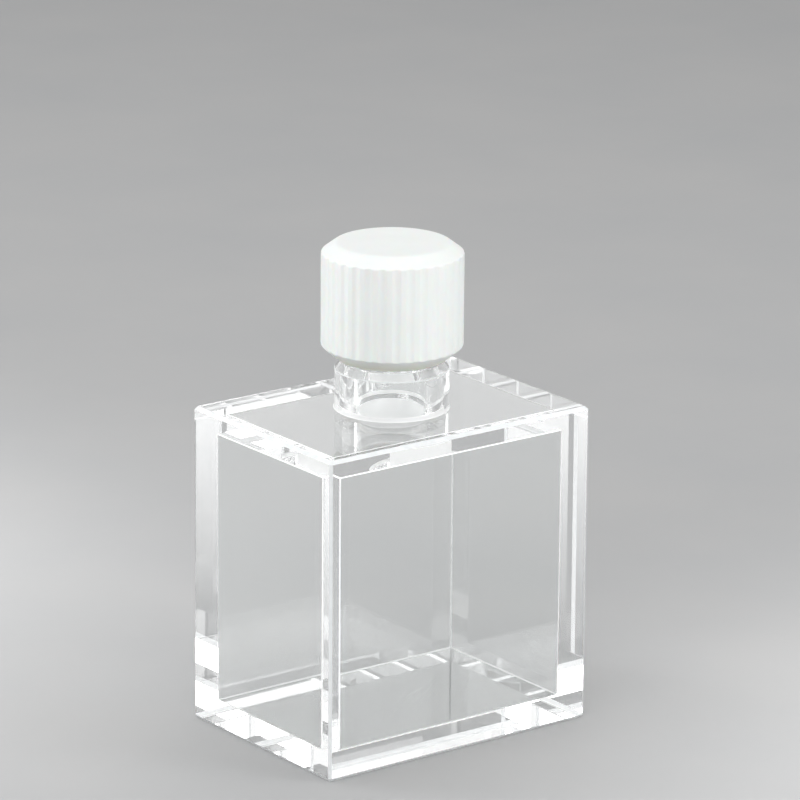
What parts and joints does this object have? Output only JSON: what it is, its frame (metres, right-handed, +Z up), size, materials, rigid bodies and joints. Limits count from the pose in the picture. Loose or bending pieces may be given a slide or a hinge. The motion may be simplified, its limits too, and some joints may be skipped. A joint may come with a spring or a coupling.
{
  "type": "screw-cap cuvette",
  "caption": "Clear rectangular optical cell with ground bevelled edges and a short round neck, closed by a white ribbed screw cap with a sealing disc inside.",
  "frame": {"origin": "centre of the cell's base, on the surface it stands on", "axes": "+Z up along the neck, +X across the wide windows, -Y out of the front window"},
  "size_m": [0.0362, 0.0262, 0.0562],
  "materials": {
    "clear_glass": "polished clear faces, ground bevels and ground hole in the lid plate",
    "seal_silicone": "smooth off-white",
    "cap_white": "satin white, finely ribbed flank"
  },
  "bodies": {
    "cell": {"glass_cell": "clear_glass"},
    "seal": {"seal_disc": "seal_silicone"},
    "cap": {"screw_cap": "cap_white"}
  },
  "joints": [
    {"name": "cap_lift", "type": "slide", "parent": "cell", "child": "seal", "axis": [0, 0, 1], "range_m": [0, 0.007]},
    {"name": "cap_turn", "type": "hinge", "parent": "seal", "child": "cap", "pos_m": [0, 0, 0.0526], "axis": [0, 0, 1], "range_deg": [0, 1260]}
  ],
  "couplings": [
    {"joint": "cap_turn", "follows": "cap_lift", "rad_per_m": 3141.6}
  ]
}
